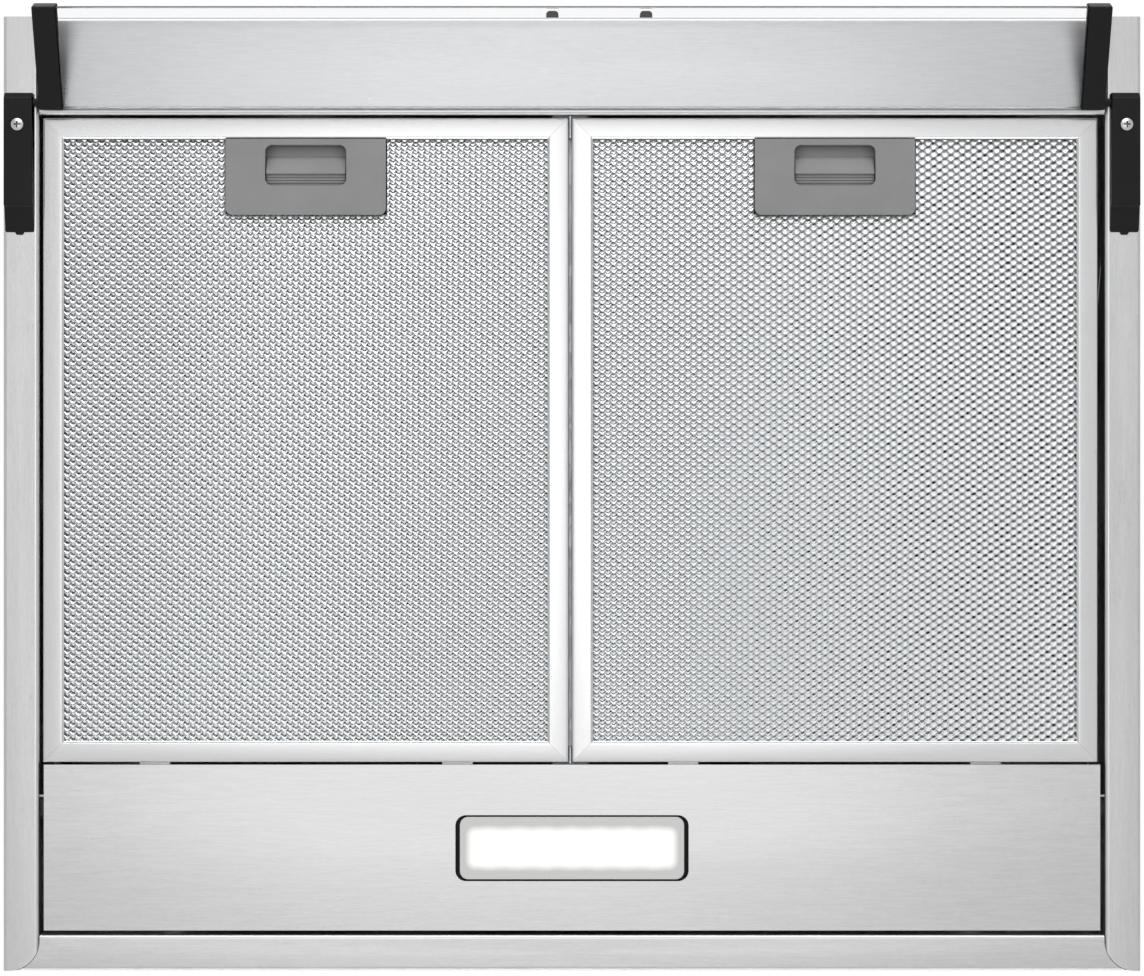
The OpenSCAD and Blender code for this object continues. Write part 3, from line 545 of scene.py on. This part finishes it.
def strand(xs, row_y, phase, height, skew):
    """One zigzag ribbon of expanded metal along X, with a three-sided section that twists as it goes."""
    wave = np.cos(2 * pi * (xs - phase) / CELL_W)
    low = (wave + 1) / 2
    half = (STRAND_HALF + STRAND_WIDENS * low) * MM
    tilt = radians(STRAND_TILT) - radians(STRAND_FLATTENS) * low
    y = row_y + skew * xs + wave * CELL_D / 4
    z = np.full_like(xs, height) - STRAND_WAVE * wave
    edge_y, edge_z = np.cos(tilt) * half, -np.sin(tilt) * half
    front = np.stack([xs, y + edge_y, z + edge_z], axis=1)
    back = np.stack([xs, y - edge_y, z - edge_z], axis=1)
    top = np.stack([xs, y + np.sin(tilt) * STRAND_THICK, z + np.cos(tilt) * STRAND_THICK], axis=1)
    return np.stack([front, back, top], axis=1)


def strand_faces(count, first):
    """Quads along a three-sided strand of count sections, and its two end caps."""
    base = first + 3 * np.arange(count - 1)[:, None]
    sides = [
        np.concatenate([base + a, base + 3 + a, base + 3 + b, base + b], axis=1)
        for a, b in ((0, 1), (1, 2), (2, 0))
    ]
    faces = np.concatenate(sides).tolist()
    last = first + 3 * (count - 1)
    faces.append([first, first + 1, first + 2])
    faces.append([last + 2, last + 1, last])
    return faces


def expanded_sheet(name, span_x, span_y, share, hole, height, steps, shift, skew):
    """A sheet of expanded metal, without the strands that cross the hole.
    share is the part of its rows that this piece holds."""
    row = CELL_D / 2
    rows = int((span_y[1] - span_y[0]) / row)
    step = CELL_W / steps
    xs = np.arange(span_x[0], span_x[1], step)
    hole_x, hole_y = hole
    outside = [xs[xs < hole_x[0]], xs[xs > hole_x[1]]]
    points, faces, count = [], [], 0
    for k in range(int(share[0] * rows), int(share[1] * rows)):
        y = span_y[0] + (k + 0.5) * row + shift[1]
        crosses = hole_y[0] < y < hole_y[1]
        for part in outside if crosses else [xs]:
            phase = span_x[0] + shift[0] + (k % 2) * CELL_W / 2
            ribbon = strand(part, y, phase, height, skew)
            faces += strand_faces(len(part), count)
            points.append(ribbon.reshape(-1, 3))
            count += 3 * len(part)
    return mesh_from(name, np.concatenate(points).tolist(), faces)


def build_filter(side, finishes, side_finish):
    """The crowned rails and the mesh layers of one filter."""
    node = "filter_frame_" + side
    body = "filter_" + side
    low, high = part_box(node)
    plate_low, plate_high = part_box("latch_plate_" + side)
    rear = high.y - HOOK_ROOM
    width = plate_low.y - low.y
    corners = (low.x, low.y), (high.x, rear)
    metal = finishes["filter_aluminium"]
    front = rail_mesh("filter_rails_x_" + side, *corners, width, low.z, high.z, along=0)
    new_piece("filter_rails_x_" + side, front, body, metal, [node])
    sides = rail_mesh("filter_rails_y_" + side, *corners, width, low.z, high.z, along=1)
    new_piece("filter_rails_y_" + side, sides, body, side_finish)
    tabs = hook_tabs("filter_hooks_" + side, low, high, (low.x + high.x) / 2)
    new_piece("filter_hooks_" + side, tabs, body, metal)

    reach = width - MESH_TUCK
    span_x = (low.x + reach, high.x - reach)
    span_y = (low.y + reach, rear - reach)
    hole = (
        (plate_low.x - HOLE_GAP, plate_high.x + HOLE_GAP),
        (low.y, plate_high.y - HOLE_OVERLAP),
    )
    mesh_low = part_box("filter_mesh_" + side)[0]
    back = (high.z - mesh_low.z) / MM - BACK_SETBACK
    # Letter, share of the rows, depth in millimetres, steps in a cell, shift and skew. The
    # face layer is cut in two, a and b, to keep each piece small.
    layers = [
        ("a", (0, 0.5), 0.3, 8, (0, 0), 0),
        ("b", (0.5, 1), 0.3, 8, (0, 0), 0),
        ("c", (0, 1), 1.2, 4, (0.5 * CELL_W, 0.3 * MM), 0.003),
        ("d", (0, 1), 2.1, 4, (0.2 * CELL_W, 0.8 * MM), -0.006),
        ("e", (0, 1), back, 4, (0, 0), 0),
    ]
    for letter, share, depth, steps, shift, skew in layers:
        name = f"filter_mesh_{side}_{letter}"
        height = mesh_low.z + depth * MM
        mesh = expanded_sheet(name, span_x, span_y, share, hole, height, steps, shift, skew)
        replaced = ["filter_mesh_" + side] if letter == "a" else ()
        new_piece(name, mesh, body, finishes["mesh_aluminium"], replaced)
    deep = mesh_low.z + DEEP_FRONT, high.z - DEEP_BACK
    build_deep_layers(side, span_x, span_y, hole, *deep, finishes)


def build_deep_layers(side, span_x, span_y, hole, low_z, high_z, finishes):
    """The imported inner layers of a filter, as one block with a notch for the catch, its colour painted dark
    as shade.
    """
    notch = (*hole[0], hole[1][1])
    outline = [
        (span_x[0], span_y[0]),
        (notch[0], span_y[0]),
        (notch[0], notch[2]),
        (notch[1], notch[2]),
        (notch[1], span_y[0]),
        (span_x[1], span_y[0]),
        (span_x[1], span_y[1]),
        (span_x[0], span_y[1]),
    ]
    count = len(outline)
    points = [(x, y, z) for z in (low_z, high_z) for x, y in outline]
    faces = [list(range(count))[::-1], list(range(count, 2 * count))]
    faces += [(i, (i + 1) % count, count + (i + 1) % count, count + i) for i in range(count)]
    name = f"filter_mesh_{side}_deep"
    new_piece(name, mesh_from(name, points, faces), "filter_" + side, finishes["mesh_deep"])


def coil_tube(points, faces, x, z, low_y, high_y):
    """Adds one closed round-wire coil that runs along Y to the lists of points and faces."""
    first = len(points)
    stations = SPRING_TURNS * SPRING_STEPS + 1
    for k in range(stations):
        turn = 2 * pi * k / SPRING_STEPS
        y = low_y + SPRING_WIRE_R + (high_y - low_y - 2 * SPRING_WIRE_R) * k / (stations - 1)
        for j in range(SPRING_SIDES):
            a = 2 * pi * j / SPRING_SIDES
            reach = SPRING_R + SPRING_WIRE_R * cos(a)
            points.append((x + reach * cos(turn), y + SPRING_WIRE_R * sin(a), z + reach * sin(turn)))
    for k in range(stations - 1):
        ring = first + k * SPRING_SIDES
        for j in range(SPRING_SIDES):
            i = (j + 1) % SPRING_SIDES
            faces.append((ring + j, ring + i, ring + SPRING_SIDES + i, ring + SPRING_SIDES + j))
    last = first + (stations - 1) * SPRING_SIDES
    faces.append([first + j for j in reversed(range(SPRING_SIDES))])
    faces.append([last + j for j in range(SPRING_SIDES)])


def build_springs(side, finishes):
    """The two coils behind a catch, built at one length; the real springs shorten as the catch is pulled
    back.
    """
    node = "latch_spring_" + side
    low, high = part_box(node)
    inset = SPRING_R + SPRING_WIRE_R
    points, faces = [], []
    for x in (low.x + inset, high.x - inset):
        coil_tube(points, faces, x, (low.z + high.z) / 2, low.y, high.y)
    mesh = mesh_from(node + "_coils", points, faces, smooth=True)
    coils = new_piece(node + "_coils", mesh, body_of(node), finishes[slot_of(node)], [node])
    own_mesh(coils)


# ---- Stage ----


def add_camera():
    data = bpy.data.cameras.new("camera")
    data.lens = FOCAL_LENGTH
    data.sensor_width = SENSOR_WIDTH
    data.clip_end = VIEW_DEPTH
    camera = bpy.data.objects.new("camera", data)
    camera.location = CAMERA_PLACE
    camera.rotation_euler = (pi, 0, 0)
    bpy.context.scene.collection.objects.link(camera)
    bpy.context.scene.camera = camera


def add_floor():
    half = FLOOR_HALF
    corners = [(x * half, y * half, FLOOR_Z) for x, y in ((-1, -1), (1, -1), (1, 1), (-1, 1))]
    floor = bpy.data.objects.new("floor", mesh_from("floor", corners, [(0, 1, 2, 3)]))
    bpy.context.scene.collection.objects.link(floor)
    finish = Finish("floor_paint", (0.67, 0.67, 0.67), 0.9)
    cloud = finish.noise((1.2, 1.2, 1.2), detail=2)
    finish.tint(finish.spread(cloud, 0, 1), (0.66, 0.66, 0.66), (0.68, 0.68, 0.68))
    floor.data.materials.append(finish.material)


def add_world():
    """A studio that is white overhead and greyer towards the horizon."""
    world = bpy.data.worlds.new("studio")
    bpy.context.scene.world = world
    world.use_nodes = True
    tree = world.node_tree
    background = tree.nodes["Background"]
    place = tree.nodes.new("ShaderNodeTexCoord")
    split = tree.nodes.new("ShaderNodeSeparateXYZ")
    ramp = tree.nodes.new("ShaderNodeMapRange")
    tree.links.new(place.outputs["Generated"], split.inputs[0])
    tree.links.new(split.outputs["Z"], ramp.inputs["Value"])
    ramp.inputs["From Min"].default_value = -0.1
    ramp.inputs["From Max"].default_value = 0.6
    ramp.inputs["To Min"].default_value = HORIZON_TONE
    ramp.inputs["To Max"].default_value = OVERHEAD_TONE
    tree.links.new(ramp.outputs["Result"], background.inputs["Color"])
    background.inputs["Strength"].default_value = 1.0


def add_softbox(name, place, aim, size, radiance, through_glass=True):
    """A rectangular lamp of one brightness all over, out of the camera's sight.
    through_glass says whether the visor passes its light."""
    data = bpy.data.lights.new(name, "AREA")
    data.shape = "RECTANGLE"
    data.size, data.size_y = size
    data.energy = radiance * pi * size[0] * size[1]
    lamp = bpy.data.objects.new(name, data)
    lamp.location = place
    lamp.rotation_euler = (Vector(aim) - Vector(place)).to_track_quat("-Z", "Y").to_euler()
    lamp.visible_camera = False
    lamp.visible_transmission = through_glass
    bpy.context.scene.collection.objects.link(lamp)


def add_lights():
    add_softbox("softbox_below", (-0.06, -0.2, FLOOR_Z + 0.02), (-0.06, -0.2, 0), (0.8, 1.05), 0.92)
    add_softbox("softbox_front", (0, -1.75, -1.35), (0, -0.1, -0.15), (1.8, 0.7), 3.4)
    add_softbox("strip_front", (0, -2.2, -0.2), (0, 0, -0.15), (2.4, 0.25), 0.6)
    add_softbox("strip_rear", (0, 2.2, -0.6), (0, 0, -0.15), (2.4, 0.4), 3, through_glass=False)
    add_softbox("softbox_above", (-1.2, -1.2, 1.8), (0, 0, 0), (1.2, 1.2), 0.8)


with open("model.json") as file:
    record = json.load(file)
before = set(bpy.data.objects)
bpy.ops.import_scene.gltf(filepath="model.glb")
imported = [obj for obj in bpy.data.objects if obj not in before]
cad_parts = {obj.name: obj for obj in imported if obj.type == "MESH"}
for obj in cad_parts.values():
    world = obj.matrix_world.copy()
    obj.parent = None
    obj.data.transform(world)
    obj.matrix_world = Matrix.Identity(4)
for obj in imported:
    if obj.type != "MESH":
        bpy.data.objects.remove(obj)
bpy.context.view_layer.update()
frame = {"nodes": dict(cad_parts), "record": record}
add_camera()
add_floor()
add_world()
add_lights()
bpy.context.scene.view_settings.view_transform = "Standard"

finishes = make_finishes()
dress_nodes(finishes)
side_aluminium = brushed_metal("filter_aluminium_sides", ALUMINIUM, 0.3, along=1, contrast=0.02)
for side in ("left", "right"):
    build_filter(side, finishes, side_aluminium)
    build_springs(side, finishes)
    softened("visor_arm_" + side, 0.6 * MM, finishes)
    softened("visor_bracket_" + side, 0.7 * MM, finishes)
    softened("latch_plate_" + side, 0.3 * MM, finishes, rise=0.2 * MM)
for node, width in (
    ("visor_glass", 0.6),
    ("fan_knob", 0.6),
    ("light_knob", 0.6),
    ("lamp_bezel", 0.3),
    ("lamp_lens", 0.35),
    ("terminal_box", 0.6),
):
    softened(node, width * MM, finishes)
